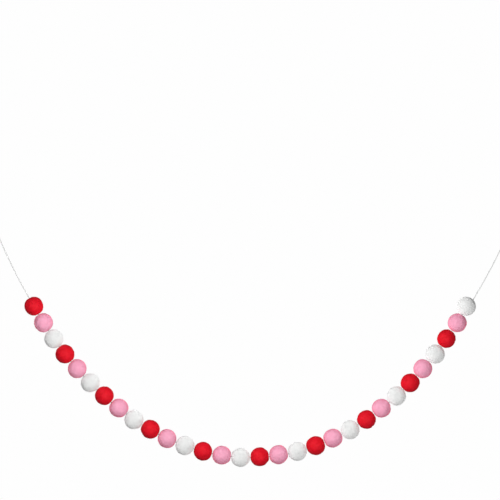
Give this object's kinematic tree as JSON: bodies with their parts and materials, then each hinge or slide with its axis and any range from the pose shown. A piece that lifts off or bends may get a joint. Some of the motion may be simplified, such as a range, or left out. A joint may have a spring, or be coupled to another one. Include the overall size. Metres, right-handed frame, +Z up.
{
  "type": "felt ball garland",
  "caption": "Garland of round wool felt balls, red, pink and white in turn, threaded side by side on a thin string that hangs in a swag between tied loops.",
  "frame": {"origin": "in the middle of the swag, below the string's lowest point, at the height of the lowest balls' undersides", "axes": "+X to the right along the garland's span, +Z up, the front of the garland towards -Y"},
  "size_m": [0.5797, 0.0204, 0.2772],
  "materials": {
    "felt_red": "matte felted wool, bright red",
    "felt_pink": "matte felted wool, light pink",
    "felt_white": "matte felted wool, white",
    "string": "matte three-ply twisted white string"
  },
  "bodies": {
    "root": {"ball_01_red": "felt_red", "ball_02_pink": "felt_pink", "ball_03_white": "felt_white", "ball_04_red": "felt_red", "ball_05_pink": "felt_pink", "ball_06_white": "felt_white", "ball_07_red": "felt_red", "ball_08_pink": "felt_pink", "ball_09_white": "felt_white", "ball_10_red": "felt_red", "ball_11_pink": "felt_pink", "ball_12_white": "felt_white", "ball_13_red": "felt_red", "ball_14_pink": "felt_pink", "ball_15_white": "felt_white", "ball_16_red": "felt_red", "ball_17_pink": "felt_pink", "ball_18_white": "felt_white", "ball_19_red": "felt_red", "ball_20_pink": "felt_pink", "ball_21_white": "felt_white", "ball_22_red": "felt_red", "ball_23_pink": "felt_pink", "ball_24_white": "felt_white", "ball_25_red": "felt_red", "ball_26_pink": "felt_pink", "ball_27_white": "felt_white", "ball_28_red": "felt_red", "ball_29_pink": "felt_pink", "ball_30_white": "felt_white", "string": "string", "left_knot": "string", "left_loop": "string", "right_knot": "string", "right_loop": "string"}
  },
  "joints": []
}
